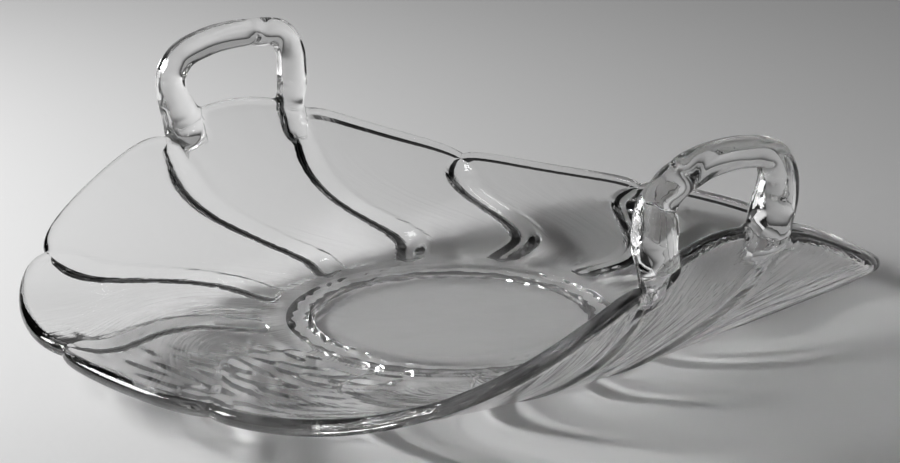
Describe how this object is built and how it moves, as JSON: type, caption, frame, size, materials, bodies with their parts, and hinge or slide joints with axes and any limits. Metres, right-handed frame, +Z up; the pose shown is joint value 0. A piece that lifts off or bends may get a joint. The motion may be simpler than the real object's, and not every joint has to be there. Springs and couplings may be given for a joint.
{
  "type": "handled glass tray",
  "caption": "Round clear-glass serving tray with two opposite sides turned up, swirled scalloped panels, a foot ring and loop handles, for muffins or rolls.",
  "frame": {"origin": "on the table, under the middle of the foot ring", "axes": "+X from the middle to the rear handle, +Y along the tray's long way from low end to low end, +Z up"},
  "size_m": [0.2173, 0.2534, 0.0802],
  "materials": {
    "body_glass": "fire-polished clear",
    "rear_handle_glass": "fire-polished clear",
    "front_handle_glass": "fire-polished clear"
  },
  "bodies": {
    "root": {"tray_body": "body_glass", "rear_handle": "rear_handle_glass", "front_handle": "front_handle_glass"}
  },
  "joints": []
}
